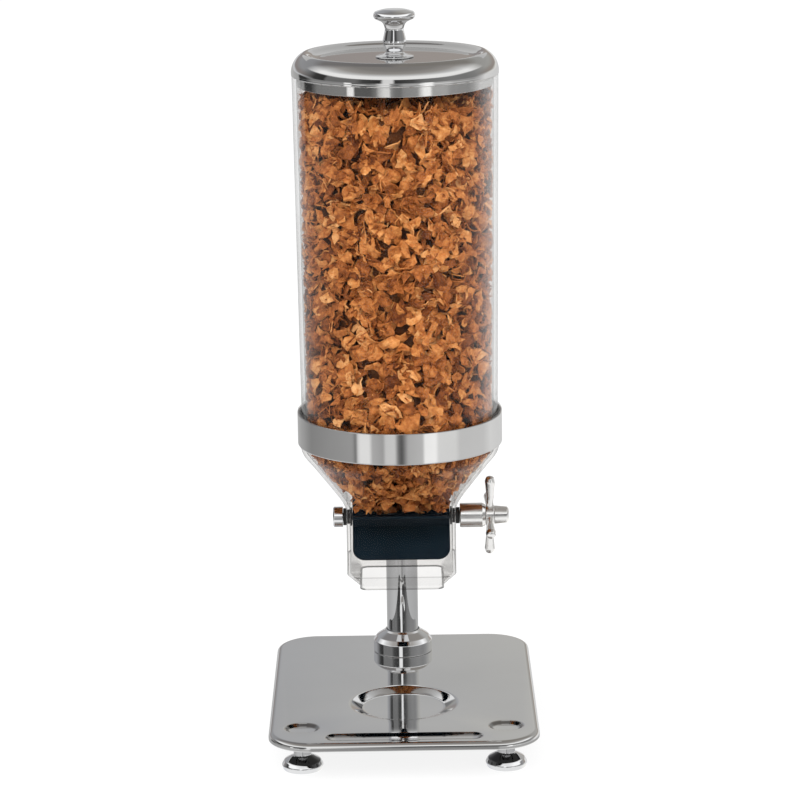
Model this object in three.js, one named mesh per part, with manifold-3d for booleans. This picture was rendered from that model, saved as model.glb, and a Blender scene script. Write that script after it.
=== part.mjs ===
// Counter-top cereal dispenser: a clear hopper in a steel ring on a post, with a
// flexible paddle wheel turned by a cross handle, over a pressed mirror-polished base tray.
// Units are millimetres, +Z is up, and the origin is on the floor at the centre of the base.
import * as THREE from 'three';
import { mergeVertices } from 'three/addons/utils/BufferGeometryUtils.js';
import { ParametricGeometry } from 'three/addons/geometries/ParametricGeometry.js';
import Module from 'manifold-3d';

const wasm = await Module();
wasm.setup();

// ---------------------------------------------------------------- driving dimensions
const GAP = 0.3;              // space kept between neighbouring pieces
const SEG = 40;               // facets round the hopper, the ring and the lid
const SMALL = 16;             // facets round the small turned pieces

const HOPPER_Y = -13;         // hopper axis, in front of the middle of the base
const POST_Y = 121;           // post axis
const AXLE_Z = 220;           // paddle wheel axis

const BASE_X = 260, BASE_Y = 348, BASE_TOP = 41, BASE_RIM = 33, BASE_R = 42, BASE_EDGE = 5, SHEET = 1.5;
const BOWL_Y = -52, BOWL_R = 53, BOWL_FLOOR_R = 40, BOWL_DEPTH = 4.6;
const GROOVE_Y = -153.4, GROOVE_HALF = 75.5, GROOVE_W = 21.6, GROOVE_DEPTH = 2.4;
const FOOT_X = 98, FOOT_Y = 124.5, FOOT_R = 20, FOOT_RECESS_L = 34, FOOT_RECESS_W = 28, FOOT_RECESS_DEPTH = 3;

const POST_R = 16, POST_WALL = 1.5, POST_TOP = 336;
const COLLAR_R = 30, COLLAR_SKIRT = 11.4, COLLAR_H = 22.6;

const RING_R = 99.5, RING_IN = 97.5, RING_LOW = 296.3, RING_HIGH = 326.8;
const SOCKET_R = 97.1, SOCKET_IN = 95.7, FLANGE_R = 99.3, FLANGE_TOP = 328.7, LEDGE_Z = 299.9;
const TUBE_TOP_R = 98.4, TUBE_LOW_R = 95.2, TUBE_WALL = 4, TUBE_TOP = 655.4, TUBE_LOW = 302.7;

const NECK = 53, NECK_R = 14, NECK_WALL = 3, NECK_LOW = 172.5, LIP_TOP = 160.2, OUTLET_LOW = 156.5, OUTLET_HALF = 41;

const WHEEL_R = 48, WHEEL_HALF = 47.5, BLADES = 6, BLADE_T = 2.8, BLADE_CORNER = 12, CORE_R = 9.5;
const BLADE_REST = 13;        // degrees that the front blade stands above the horizontal at rest
const SHAFT_R = 4, SHAFT_HEX = 9.2;

const HANDLE_R = 12, HANDLE_X0 = 57.6, HANDLE_X1 = 82.6, CROSS_X = 87, ARM_REACH = 42.6;
const CROSS_REST = 14;        // degrees that the upright arm leans towards the front at rest

const LID_R = 98.9, LID_WALL = 1.2, LID_LOW = 655.9, LID_CREST = 676.8, LID_FLOOR = 671.6;
const SKIRT_R = 93.6, SKIRT_LOW = 645.8;
const KNOB_TOP = 717.5, KNOB_R = 20.2;

// ---------------------------------------------------------------- solids
function solid(geometry) {
  const g = geometry.clone();
  g.deleteAttribute('normal');
  g.deleteAttribute('uv');
  const merged = mergeVertices(g, 1e-3);
  const p = merged.getAttribute('position');
  const index = merged.getIndex().array;
  const tri = [];
  let volume = 0;
  for (let i = 0; i < index.length; i += 3) {
    const [a, b, c] = [index[i], index[i + 1], index[i + 2]];
    if (a === b || b === c || a === c) continue;
    tri.push(a, b, c);
    const A = new THREE.Vector3().fromBufferAttribute(p, a);
    const B = new THREE.Vector3().fromBufferAttribute(p, b);
    const C = new THREE.Vector3().fromBufferAttribute(p, c);
    volume += A.dot(B.cross(C));
  }
  if (volume < 0) {
    for (let i = 0; i < tri.length; i += 3) [tri[i + 1], tri[i + 2]] = [tri[i + 2], tri[i + 1]];
  }
  return new wasm.Manifold(new wasm.Mesh({
    numProp: 3,
    vertProperties: new Float32Array(p.array),
    triVerts: new Uint32Array(tri),
  }));
}

function geometryOf(manifold) {
  const mesh = manifold.getMesh();
  const g = new THREE.BufferGeometry();
  g.setAttribute('position', new THREE.BufferAttribute(new Float32Array(mesh.vertProperties), 3));
  g.setIndex(new THREE.BufferAttribute(new Uint32Array(mesh.triVerts), 1));
  g.computeVertexNormals();
  return g;
}

// A profile of [radius, height] pairs turned about +Z.
function turned(profile, segments = SMALL, phase = 0) {
  const points = profile.map(([r, z]) => new THREE.Vector2(r, z));
  const g = new THREE.LatheGeometry(points, segments);
  g.rotateX(Math.PI / 2);
  if (phase) g.rotateZ(phase);
  return g;
}
// The same with the profile closed on itself, for rings and sleeves.
const ringed = (profile, segments = SMALL) => turned([...profile, profile[0]], segments);
const alongX = (g) => g.rotateY(Math.PI / 2);          // +Z becomes +X
const disc = (r, z0, z1, segments = SMALL) => turned([[0, z0], [r, z0], [r, z1], [0, z1]], segments);

function box(x0, x1, y0, y1, z0, z1) {
  const g = new THREE.BoxGeometry(x1 - x0, y1 - y0, z1 - z0);
  g.translate((x0 + x1) / 2, (y0 + y1) / 2, (z0 + z1) / 2);
  return g;
}

function roundedRect(w, h, r) {
  const s = new THREE.Shape();
  const x = w / 2, y = h / 2;
  s.moveTo(-x + r, -y);
  s.lineTo(x - r, -y);
  s.absarc(x - r, -y + r, r, -Math.PI / 2, 0, false);
  s.lineTo(x, y - r);
  s.absarc(x - r, y - r, r, 0, Math.PI / 2, false);
  s.lineTo(-x + r, y);
  s.absarc(-x + r, y - r, r, Math.PI / 2, Math.PI, false);
  s.lineTo(-x, -y + r);
  s.absarc(-x + r, -y + r, r, Math.PI, 1.5 * Math.PI, false);
  return s;
}

// A slab whose top edge is rounded: its highest face is at `top`, and it reaches far below.
function crownedSlab(w, h, r, edge, top, low, steps) {
  const g = new THREE.ExtrudeGeometry(roundedRect(w - 2 * edge, h - 2 * edge, r - edge), {
    depth: top - low - edge, bevelEnabled: true, bevelThickness: edge, bevelSize: edge,
    bevelSegments: steps, curveSegments: 6,
  });
  g.translate(0, 0, low);
  return g;
}

// A dished pocket: full outline at `top` and above it, sloping in to its floor at top - depth.
function pocket(w, h, r, slope, depth, top) {
  const g = new THREE.ExtrudeGeometry(roundedRect(w - 2 * slope, h - 2 * slope, r - slope), {
    depth: 2, bevelEnabled: true, bevelThickness: depth, bevelSize: slope, bevelSegments: 1, curveSegments: 4,
  });
  g.translate(0, 0, top);
  return g;
}

// A closed wall swept round a vertical axis. Each station is [z, half width, corner radius], and a
// station whose corner radius equals its half width is a circle.
function loft(stations, segments = SEG) {
  const rim = (half, corner, a) => {
    const c = Math.abs(Math.cos(a)), s = Math.abs(Math.sin(a));
    const flat = half / Math.max(c, s);
    const e = half - corner;
    if (Math.min(c, s) * flat <= e + 1e-9) return flat;
    // the direction meets the corner arc, whose centre is at (e, e)
    const b = e * (c + s);
    return b + Math.sqrt(Math.max(0, b * b - 2 * e * e + corner * corner));
  };
  const g = new ParametricGeometry((u, v, target) => {
    const k = Math.round(v * stations.length) % stations.length;
    const [z, half, corner] = stations[k];
    const a = 2 * Math.PI * (Math.round(u * segments) % segments) / segments;
    const r = rim(half, Math.min(corner, half), a);
    target.set(r * Math.cos(a), r * Math.sin(a), z);
  }, segments, stations.length);
  return g;
}

const meshOf = (name, manifoldOrGeometry, material) => {
  const g = manifoldOrGeometry.isBufferGeometry ? geometryOf(solid(manifoldOrGeometry)) : geometryOf(manifoldOrGeometry);
  const mesh = new THREE.Mesh(g, material);
  mesh.name = name;
  return mesh;
};

// ---------------------------------------------------------------- materials
const steel = () => new THREE.MeshStandardMaterial({ color: 0xb9b8b6, roughness: 0.08, metalness: 1 });
const chrome = () => new THREE.MeshStandardMaterial({ color: 0xd4d5d7, roughness: 0.05, metalness: 1 });
const zinc = () => new THREE.MeshStandardMaterial({ color: 0xa8abae, roughness: 0.35, metalness: 1 });
const clear = () => new THREE.MeshStandardMaterial({ color: 0xf2f3f2, roughness: 0.05, metalness: 0, transparent: true, opacity: 0.3 });
const navy = () => new THREE.MeshStandardMaterial({ color: 0x0b2230, roughness: 0.55, metalness: 0 });
const black = () => new THREE.MeshStandardMaterial({ color: 0x16171a, roughness: 0.6, metalness: 0 });
const silicone = () => new THREE.MeshStandardMaterial({ color: 0xdedede, roughness: 0.5, metalness: 0 });

const dispenser = new THREE.Group();

// ================================================================ base tray
const stand = new THREE.Group();
dispenser.add(stand);
{
  let plate = solid(crownedSlab(BASE_X, BASE_Y, BASE_R, BASE_EDGE, BASE_TOP, 0, 2))
    .subtract(solid(crownedSlab(BASE_X - 2 * SHEET, BASE_Y - 2 * SHEET, BASE_R - SHEET, BASE_EDGE - SHEET, BASE_TOP - SHEET, 0, 2)))
    .subtract(solid(box(-200, 200, -250, 250, -20, BASE_RIM)));
  // pressed places: the sheet is carried down round each, then the pocket is opened
  const bowl = (grow, drop) => solid(turned([[0, BASE_TOP - BOWL_DEPTH - drop], [BOWL_FLOOR_R + grow, BASE_TOP - BOWL_DEPTH - drop],
    [BOWL_R + grow, BASE_TOP - drop], [BOWL_R + grow, BASE_TOP - drop + (drop ? 1 : 2)], [0, BASE_TOP - drop + (drop ? 1 : 2)]], 36).translate(0, BOWL_Y, 0));
  plate = plate.add(bowl(0.8, SHEET)).subtract(bowl(0, 0));
  const pressed = (w, h, r, slope, depth, x, y) => {
    const under = solid(pocket(w + 1.6, h + 1.6, r + 0.8, slope, depth, BASE_TOP - SHEET).translate(x, y, 0))
      .subtract(solid(box(-200, 200, -250, 250, BASE_TOP - 0.4, BASE_TOP + 60)));
    const open = solid(pocket(w, h, r, slope, depth, BASE_TOP).translate(x, y, 0));
    plate = plate.add(under).subtract(open);
  };
  pressed(2 * GROOVE_HALF, GROOVE_W, GROOVE_W / 2 - 0.01, 7.4, GROOVE_DEPTH, 0, GROOVE_Y);
  for (const x of [-FOOT_X, FOOT_X]) pressed(FOOT_RECESS_L, FOOT_RECESS_W, FOOT_RECESS_W / 2 - 0.01, 4.5, FOOT_RECESS_DEPTH, x, -FOOT_Y);
  plate = plate.subtract(solid(disc(5.4, 30, 50).translate(0, POST_Y, 0)));
  stand.add(meshOf('base_plate', plate, steel()));
}

// ================================================================ levelling feet
const feet = new THREE.Group();
dispenser.add(feet);
for (const [name, sx, sy] of [['front_left', -1, -1], ['front_right', 1, -1], ['rear_left', -1, 1], ['rear_right', 1, 1]]) {
  const foot = new THREE.Group();
  foot.position.set(sx * FOOT_X, sy * FOOT_Y, 0);
  feet.add(foot);
  const roof = (sy < 0 ? BASE_TOP - FOOT_RECESS_DEPTH : BASE_TOP) - SHEET - GAP;
  // domed disc, neck and stud in one turning; the stud screws up into the boss
  const body = solid(turned([[0, 2.6], [16.9, 2.6], [16.9, 1.2], [18.6, 1.2], [FOOT_R, 5], [17.6, 9.4],
    [9.6, 13.8], [8.5, 14.8], [8.5, 24], [4, 24], [4, roof - 0.6], [0, roof - 0.6]], 20));
  foot.add(meshOf(`foot_${name}`, body, chrome()));
  foot.add(meshOf(`foot_pad_${name}`, disc(16.4, 0, 2.3, 20), black()));
  foot.add(meshOf(`foot_boss_${name}`, ringed([[4.4, 24.4], [9.6, 24.4], [9.6, roof], [4.4, roof]], 12), zinc()));
}

// ================================================================ post
const post = new THREE.Group();
post.position.set(0, POST_Y, 0);
stand.add(post);
const postFoot = BASE_TOP + GAP;
post.add(meshOf('post_tube', ringed([[POST_R - POST_WALL, postFoot], [POST_R, postFoot], [POST_R, POST_TOP], [POST_R - POST_WALL, POST_TOP]], 24), chrome()));
post.add(meshOf('post_plug', solid(disc(POST_R - POST_WALL - GAP, postFoot, 62)).subtract(solid(disc(5.3, 30, 70, 20))), zinc()));
post.add(meshOf('post_bolt', solid(disc(5, 36, 58, 20)).add(solid(disc(9.2, 31, 36.8, 6))), zinc()));
post.add(meshOf('post_bolt_washer', ringed([[5.4, 37.1], [12, 37.1], [12, BASE_TOP - SHEET - GAP], [5.4, BASE_TOP - SHEET - GAP]], 24), zinc()));
post.add(meshOf('post_cap', turned([[0, POST_TOP + 5.4], [12, POST_TOP + 3.9], [POST_R, POST_TOP + GAP],
  [POST_R - POST_WALL - GAP, POST_TOP + GAP], [POST_R - POST_WALL - GAP, POST_TOP - 9], [0, POST_TOP - 9]], 24), black()));
// bell-shaped collar that covers the joint of the post and the tray
const cz = BASE_TOP + GAP;
post.add(meshOf('post_collar', ringed([[COLLAR_R - 1.6, cz], [COLLAR_R, cz], [COLLAR_R, cz + COLLAR_SKIRT],
  [COLLAR_R - 3.4, cz + COLLAR_SKIRT + 4.4], [19, cz + COLLAR_H - 1.8], [17.4, cz + COLLAR_H], [16.6, cz + COLLAR_H],
  [16.6, cz + COLLAR_H - 4.2], [COLLAR_R - 5.2, cz + COLLAR_SKIRT + 3], [COLLAR_R - 1.6, cz + COLLAR_SKIRT - 0.6]], 24), chrome()));

// ================================================================ ring and bracket
const hopper = new THREE.Group();
hopper.position.set(0, HOPPER_Y, 0);
dispenser.add(hopper);
const dy = POST_Y - HOPPER_Y;              // post axis seen from the hopper axis
const SCREW_X = 7, SCREW_Z = 311.6;
{
  const holes = [-SCREW_X, SCREW_X].map((x) => {
    const g = disc(4.4, 90, 106, 12).rotateX(-Math.PI / 2);
    return solid(g.translate(x, 0, SCREW_Z));
  });
  let ring = solid(ringed([[RING_IN, RING_LOW], [RING_R, RING_LOW], [RING_R, RING_HIGH], [RING_IN, RING_HIGH]], SEG));
  for (const h of holes) ring = ring.subtract(h);
  hopper.add(meshOf('support_ring', ring, steel()));

  let bracket = solid(disc(22, RING_LOW + 3.2, RING_HIGH - 3.3, 24).translate(0, dy, 0))
    .add(solid(box(-15, 15, 80, dy - 8, RING_LOW + 5.7, RING_HIGH - 5.8)))
    .subtract(solid(disc(RING_R + GAP, 280, 340, SEG)))
    .subtract(solid(disc(POST_R + GAP, 280, 340, 24).translate(0, dy, 0)));
  for (const x of [-SCREW_X, SCREW_X]) bracket = bracket.subtract(solid(disc(2.8, 95, 114, 10).rotateX(-Math.PI / 2).translate(x, 0, SCREW_Z)));
  bracket = bracket.subtract(solid(disc(3.3, dy + 12, dy + 30, 12).rotateX(-Math.PI / 2).translate(0, 0, SCREW_Z)));
  hopper.add(meshOf('ring_bracket', bracket, chrome()));

  for (const [name, x] of [['left', -SCREW_X], ['right', SCREW_X]]) {
    const g = turned([[0, 97.5], [4, 97.5], [4, 98.7], [2.5, 98.9], [2.5, 113], [0, 113]], 10).rotateX(-Math.PI / 2);
    hopper.add(meshOf(`ring_screw_${name}`, g.translate(x, 0, SCREW_Z), zinc()));
  }
  const clampScrew = turned([[0, dy + POST_R + 0.6], [3, dy + POST_R + 0.6], [3, dy + 22.4], [5, dy + 22.4], [5, dy + 28.4], [0, dy + 28.4]], 12).rotateX(-Math.PI / 2);
  hopper.add(meshOf('bracket_clamp_screw', clampScrew.translate(0, 0, SCREW_Z), zinc()));
}

// ================================================================ clear hopper
{
  const outer = [[FLANGE_TOP, FLANGE_R, FLANGE_R], [RING_HIGH + GAP, FLANGE_R, FLANGE_R], [RING_HIGH + GAP, SOCKET_R, SOCKET_R],
    [294, SOCKET_R, SOCKET_R], [286.5, 94.8, 94.8], [278, 88, 88], [268, 78.6, 70], [255, 66.4, 46], [244, 56.4, 24],
    [237, NECK, NECK_R], [NECK_LOW, NECK, NECK_R], [LIP_TOP, OUTLET_HALF, 8], [OUTLET_LOW, OUTLET_HALF, 8]];
  const inner = [[OUTLET_LOW, OUTLET_HALF - 1.9, 6.2], [LIP_TOP + 0.2, OUTLET_HALF - 1.9, 6.2], [NECK_LOW + 0.9, NECK - NECK_WALL, NECK_R - NECK_WALL], [237.8, NECK - NECK_WALL, NECK_R - NECK_WALL],
    [245.4, 53.6, 21], [256.4, 63.4, 43], [269.4, 75.6, 67], [279.6, 85.2, 85.2], [288, 91.6, 91.6],
    [LEDGE_Z, 93, 93], [LEDGE_Z, SOCKET_IN, SOCKET_IN], [FLANGE_TOP, SOCKET_IN, SOCKET_IN]];
  const bores = [[-60, -40], [40, 60]].map(([a, b]) => solid(alongX(disc(7.3, a, b, 16)).translate(0, 0, AXLE_Z)));
  let funnel = solid(loft([...outer, ...inner]));
  for (const b of bores) funnel = funnel.subtract(b);
  hopper.add(meshOf('hopper_funnel', funnel, clear()));

  hopper.add(meshOf('hopper_tube', ringed([[TUBE_LOW_R - TUBE_WALL, TUBE_LOW], [TUBE_LOW_R, TUBE_LOW], [TUBE_TOP_R, TUBE_TOP], [TUBE_TOP_R - TUBE_WALL, TUBE_TOP]], SEG), clear()));
  hopper.add(meshOf('tube_seal', ringed([[93.3, LEDGE_Z + GAP], [95.3, LEDGE_Z + GAP], [95.3, TUBE_LOW - GAP], [93.3, TUBE_LOW - GAP]], SEG), silicone()));
}

// ================================================================ bushes and washers in the neck walls
for (const [name, s] of [['left', -1], ['right', 1]]) {
  const inside = NECK - NECK_WALL;
  const g = ringed([[4.4, inside - 2], [9, inside - 2], [9, inside - GAP], [7, inside - GAP], [7, NECK], [4.4, NECK]], 16);
  const x = alongX(g);
  if (s < 0) x.rotateZ(Math.PI);
  hopper.add(meshOf(`bush_${name}`, x.translate(0, 0, AXLE_Z), black()));
}

// ================================================================ rotor: wheel, shaft, cap and handle
const rotor = new THREE.Group();
rotor.position.set(0, 0, AXLE_Z);
hopper.add(rotor);

const wheel = new THREE.Group();
wheel.rotation.x = -THREE.MathUtils.degToRad(BLADE_REST);  // lifts the front blade
rotor.add(wheel);
{
  // each blade is drawn in the X-radius plane, with round outer corners, and reaches into the sleeve on the core
  const blade = () => {
    const s = new THREE.Shape();
    s.moveTo(-WHEEL_HALF, 10);
    s.lineTo(WHEEL_HALF, 10);
    s.lineTo(WHEEL_HALF, WHEEL_R - BLADE_CORNER);
    s.absarc(WHEEL_HALF - BLADE_CORNER, WHEEL_R - BLADE_CORNER, BLADE_CORNER, 0, Math.PI / 2, false);
    s.lineTo(-WHEEL_HALF + BLADE_CORNER, WHEEL_R);
    s.absarc(-WHEEL_HALF + BLADE_CORNER, WHEEL_R - BLADE_CORNER, BLADE_CORNER, Math.PI / 2, Math.PI, false);
    const g = new THREE.ExtrudeGeometry(s, { depth: BLADE_T, bevelEnabled: false, curveSegments: 5 });
    g.translate(0, 0, -BLADE_T / 2);
    return g;
  };
  let paddle = solid(alongX(disc(12.2, -WHEEL_HALF, WHEEL_HALF, 18)));
  for (let k = 0; k < BLADES; k++) paddle = paddle.add(solid(blade().rotateX(Math.PI + (2 * Math.PI * k) / BLADES)));
  paddle = paddle.subtract(solid(alongX(disc(CORE_R + GAP, -60, 60, 18))));
  wheel.add(meshOf('paddle_wheel', paddle, navy()));
  const core = solid(alongX(disc(CORE_R, -WHEEL_HALF, WHEEL_HALF, 18))).subtract(solid(alongX(disc(SHAFT_HEX / 2 + 0.95, -60, 60, 6))));
  wheel.add(meshOf('wheel_core', core, black()));
  const shaft = solid(alongX(disc(SHAFT_R, -63.5, 93.5, 20))).add(solid(alongX(disc(SHAFT_HEX / 2 + 0.5, -46.5, 46.5, 6))));
  wheel.add(meshOf('drive_shaft', shaft, zinc()));
}
// left end: rubber washer and turned cap
rotor.add(meshOf('washer_left', alongX(ringed([[4.4, 53.3], [8.4, 53.3], [8.4, 56.7], [4.4, 56.7]], 16)).rotateZ(Math.PI), black()));
rotor.add(meshOf('end_cap_left', solid(alongX(turned([[0, -66.6], [8.9, -66.6], [10, -65.5], [10, -57], [0, -57]], 20)))
  .subtract(solid(alongX(disc(4.35, -63.9, -50, 20)))), chrome()));
// right end: washer, sleeve, cross and nose
rotor.add(meshOf('washer_right', alongX(ringed([[4.4, 53.3], [8, 53.3], [8, 57.3], [4.4, 57.3]], 16)), black()));
rotor.add(meshOf('handle_sleeve', alongX(ringed([[4.4, HANDLE_X0], [11.4, HANDLE_X0], [HANDLE_R, HANDLE_X0 + 0.7], [HANDLE_R, HANDLE_X1 - 3],
  [10, HANDLE_X1], [4.4, HANDLE_X1]], 20)), chrome()));

const cross = new THREE.Group();
cross.position.x = CROSS_X;
cross.rotation.x = THREE.MathUtils.degToRad(CROSS_REST);   // the upright arm leans to the front
rotor.add(cross);
{
  let hub = solid(alongX(turned([[0, -4.1], [10, -4.1], [10, 4.1], [0, 4.1]], 20)))
    .subtract(solid(alongX(disc(4.35, -10, 10, 20))));
  const socket = () => disc(2.3, 5, 16, 10);
  for (let k = 0; k < 4; k++) hub = hub.subtract(solid(socket().rotateX((k * Math.PI) / 2)));
  cross.add(meshOf('handle_hub', hub, chrome()));
  const names = ['up', 'front', 'down', 'rear'];
  for (let k = 0; k < 4; k++) {
    const arm = turned([[0, 5.4], [2, 5.4], [2, 10.5], [3.4, 10.5], [3.2, 18], [4.4, 31.5], [5.1, 37.6],
      [3.8, 41.6], [0, ARM_REACH]], 12);
    arm.rotateX((k * Math.PI) / 2);            // up, front (-Y), down, rear
    cross.add(meshOf(`handle_arm_${names[k]}`, arm, chrome()));
  }
}
rotor.add(meshOf('handle_nose', solid(alongX(turned([[0, 91.4], [9.1, 91.4], [7.9, 103.8], [6, 105.4], [0, 105.6]], 20)))
  .subtract(solid(alongX(disc(4.35, 80, 94, 20)))), chrome()));

// ================================================================ lid
const lid = new THREE.Group();
hopper.add(lid);
{
  // spun pan: upright rim, broad shoulder, low crest and a slightly sunk centre
  const top = [[LID_R, LID_LOW], [LID_R, 660], [98.2, 663.6], [96.4, 668], [93.2, 672.4], [89.2, 675.7], [86, LID_CREST], [82, 675.7], [78.3, 673.1], [73, LID_FLOOR]];
  const under = [[72.9, LID_FLOOR - LID_WALL], [78.8, 672], [82.5, 674.6], [86, 675.5], [88.6, 674.6], [92.3, 671.6], [95.3, 667.4], [97, 663.3], [97.7, 659.9], [LID_R - LID_WALL, LID_LOW]];
  let pan = solid(turned([[0, LID_FLOOR - LID_WALL], ...under, ...top, [0, LID_FLOOR]], SEG)).subtract(solid(disc(3.3, 660, 690, 12)));
  lid.add(meshOf('lid_pan', pan, steel()));
  // inner cup that centres the lid in the tube
  lid.add(meshOf('lid_skirt', ringed([[SKIRT_R - 1, SKIRT_LOW], [SKIRT_R, SKIRT_LOW], [SKIRT_R, 669], [SKIRT_R - 1, 669]], SEG), steel()));
  lid.add(meshOf('lid_seal', ringed([[SKIRT_R + GAP, TUBE_TOP + GAP], [97.3, TUBE_TOP + GAP], [97.3, 661.4], [SKIRT_R + GAP, 661.4]], SEG), silicone()));
  const k0 = LID_FLOOR + GAP;
  const knob = solid(turned([[0, k0], [18.2, k0], [18.4, k0 + 0.9], [16, k0 + 1.7], [11, k0 + 2.6], [8.3, k0 + 4.8], [9.3, k0 + 7.2], [11.2, 684],
    [11.2, 688], [9.6, 695], [8.9, 698.4], [10.4, 703.4], [12.4, 705.4], [18.9, 708.4], [KNOB_R, 711.2],
    [19, 714.6], [11, KNOB_TOP - 0.4], [0, KNOB_TOP]], 20))
    .subtract(solid(disc(3, 660, 686, 12)));
  lid.add(meshOf('lid_knob', knob, chrome()));
  lid.add(meshOf('knob_washer', ringed([[3, LID_FLOOR - LID_WALL - GAP - 1.4], [9, LID_FLOOR - LID_WALL - GAP - 1.4], [9, LID_FLOOR - LID_WALL - GAP], [3, LID_FLOOR - LID_WALL - GAP]], 16), zinc()));
  lid.add(meshOf('knob_screw', turned([[0, 665], [4, 665], [4.8, 666.4], [4.8, 668.2], [2.6, 668.2], [2.6, 684], [0, 684]], 12), zinc()));
}

export default dispenser;
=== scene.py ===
import math
import random

import bmesh
import bpy
from mathutils import Matrix, Vector, geometry, noise


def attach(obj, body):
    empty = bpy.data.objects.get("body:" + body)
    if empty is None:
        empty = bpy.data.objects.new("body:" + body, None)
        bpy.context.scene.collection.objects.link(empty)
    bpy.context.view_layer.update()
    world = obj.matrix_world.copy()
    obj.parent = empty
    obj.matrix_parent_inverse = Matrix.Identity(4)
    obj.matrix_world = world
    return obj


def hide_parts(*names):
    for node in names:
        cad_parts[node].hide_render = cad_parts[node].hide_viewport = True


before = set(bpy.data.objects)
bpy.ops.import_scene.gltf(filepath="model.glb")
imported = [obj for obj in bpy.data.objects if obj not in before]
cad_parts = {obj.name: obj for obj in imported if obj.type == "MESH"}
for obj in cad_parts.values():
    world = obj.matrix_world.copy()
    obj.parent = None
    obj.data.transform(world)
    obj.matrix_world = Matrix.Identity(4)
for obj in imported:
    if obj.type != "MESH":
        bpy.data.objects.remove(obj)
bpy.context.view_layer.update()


MM = 0.001
HY = -13.0          # hopper axis, mm
PY = 121.0          # post axis
AZ = 220.0          # wheel axis height
scene = bpy.context.scene


# ------------------------------------------------------------------ shape helpers (millimetres)
def fillet(points, radius=1.0, closed=False, seg=6):
    """Round the corners of a polyline. A point may carry its own radius as a third number."""
    pts = [(p[0], p[1], p[2] if len(p) > 2 else radius) for p in points]
    n = len(pts)
    out = []
    for i, (x, y, r) in enumerate(pts):
        if (not closed and i in (0, n - 1)) or r <= 0:
            out.append((x, y))
            continue
        a = Vector(pts[i - 1][:2])
        b = Vector((x, y))
        c = Vector(pts[(i + 1) % n][:2])
        u, v = a - b, c - b
        lu, lv = u.length, v.length
        if lu < 1e-6 or lv < 1e-6:
            continue
        u /= lu
        v /= lv
        ang = math.acos(max(-1, min(1, u.dot(v))))
        if ang > math.pi - 0.02 or ang < 0.02:
            out.append((x, y))
            continue
        t = min(r / math.tan(ang / 2), 0.48 * lu, 0.48 * lv)
        rr = t * math.tan(ang / 2)
        mid = (u + v).normalized()
        centre = b + mid * (rr / math.sin(ang / 2))
        s, e = b + u * t - centre, b + v * t - centre
        sweep = math.atan2(s.x * e.y - s.y * e.x, s.dot(e))
        k = max(2, int(abs(sweep) / math.radians(90) * seg) + 1)
        gu, gv = min(t * 1.5 + 0.1, 0.49 * lu), min(t * 1.5 + 0.1, 0.49 * lv)
        if gu > t * 1.05:
            out.append((b.x + u.x * gu, b.y + u.y * gu))
        for j in range(k + 1):
            w = sweep * j / k
            q = Vector((s.x * math.cos(w) - s.y * math.sin(w), s.x * math.sin(w) + s.y * math.cos(w)))
            out.append((centre.x + q.x, centre.y + q.y))
        if gv > t * 1.05:
            out.append((b.x + v.x * gv, b.y + v.y * gv))
    return out


def new_object(name, verts, faces, material, angle=32.0, recalc=True):
    me = bpy.data.meshes.new(name)
    me.from_pydata([(v[0] * MM, v[1] * MM, v[2] * MM) for v in verts], [], faces)
    bm = bmesh.new()
    bm.from_mesh(me)
    if recalc:
        bmesh.ops.recalc_face_normals(bm, faces=bm.faces)
    for f in bm.faces:
        f.smooth = True
    bm.to_mesh(me)
    bm.free()
    me.materials.append(material)
    if angle:
        me.set_sharp_from_angle(angle=math.radians(angle))
    ob = bpy.data.objects.new(name, me)
    scene.collection.objects.link(ob)
    return ob


def place(ob, body, nodes=()):
    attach(ob, body)
    if nodes:
        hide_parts(*nodes)
    return ob


def lathe_data(profile, closed=False, steps=96):
    """profile is (radius, height). Open profiles start and end on the axis."""
    verts, faces, rows = [], [], []
    for r, h in profile:
        if r < 1e-6:
            rows.append([len(verts)])
            verts.append((0.0, 0.0, h))
        else:
            rows.append(list(range(len(verts), len(verts) + steps)))
            for k in range(steps):
                a = 2 * math.pi * k / steps
                verts.append((r * math.cos(a), r * math.sin(a), h))
    pairs = list(zip(rows, rows[1:])) + ([(rows[-1], rows[0])] if closed else [])
    for a, b in pairs:
        if len(a) == 1 and len(b) == 1:
            continue
        for k in range(steps):
            j = (k + 1) % steps
            if len(a) == 1:
                faces.append((a[0], b[j], b[k]))
            elif len(b) == 1:
                faces.append((a[k], a[j], b[0]))
            else:
                faces.append((a[k], a[j], b[j], b[k]))
    return verts, faces


def moved(data, m):
    return [tuple(m @ Vector(v)) for v in data[0]], data[1]


def joined(parts):
    verts, faces = [], []
    for v, f in parts:
        o = len(verts)
        verts += v
        faces += [tuple(i + o for i in g) for g in f]
    return verts, faces


def at(x, y, z):
    return Matrix.Translation((x, y, z))


ALONG_X = Matrix(((0, 0, 1, 0), (0, 1, 0, 0), (-1, 0, 0, 0), (0, 0, 0, 1)))   # +Z becomes +X


def rim_radius(half, corner, a):
    corner = min(corner, half)
    c, s = abs(math.cos(a)), abs(math.sin(a))
    flat = half / max(c, s)
    e = half - corner
    if min(c, s) * flat <= e + 1e-9:
        return flat
    b = e * (c + s)
    return b + math.sqrt(max(0.0, b * b - 2 * e * e + corner * corner))


def loft_data(stations, steps=256):
    """A closed wall: stations (z, half, corner) go round the wall's section and back to the first."""
    verts, faces = [], []
    for z, half, corner in stations:
        for k in range(steps):
            a = 2 * math.pi * (k + 0.5) / steps
            r = rim_radius(half, corner, a)
            verts.append((r * math.cos(a), r * math.sin(a), z))
    n = len(stations)
    for i in range(n):
        a, b = i * steps, ((i + 1) % n) * steps
        for k in range(steps):
            j = (k + 1) % steps
            faces.append((a + k, a + j, b + j, b + k))
    return verts, faces


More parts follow.
